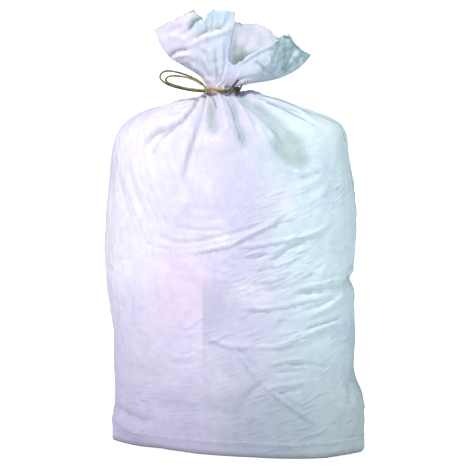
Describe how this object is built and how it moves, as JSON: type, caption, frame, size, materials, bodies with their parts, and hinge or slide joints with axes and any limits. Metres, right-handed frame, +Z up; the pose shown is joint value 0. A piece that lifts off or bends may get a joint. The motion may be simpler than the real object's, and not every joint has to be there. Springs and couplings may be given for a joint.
{
  "type": "cement bag",
  "caption": "Filled woven cement bag standing on its base, gathered and tied at the neck with twine, its mouth flaring above the tie.",
  "frame": {"origin": "on the floor, in the flat base of the sack, under the middle of the filled body", "axes": "+Z up along the bag's height, +X across the bag, -Y towards its front, where the twine's loops and ends are"},
  "size_m": [0.404, 0.2428, 0.6856],
  "materials": {
    "woven_fabric": "off-white woven polypropylene tapes with a soft sheen",
    "cement_powder": "fine grey powder",
    "twine": "twisted golden brown plant fibre",
    "sewing_thread": "white twisted thread"
  },
  "bodies": {
    "root": {"woven_sack": "woven_fabric", "cement_fill": "cement_powder", "neck_tie": "twine", "hem_thread": "sewing_thread"}
  },
  "joints": []
}
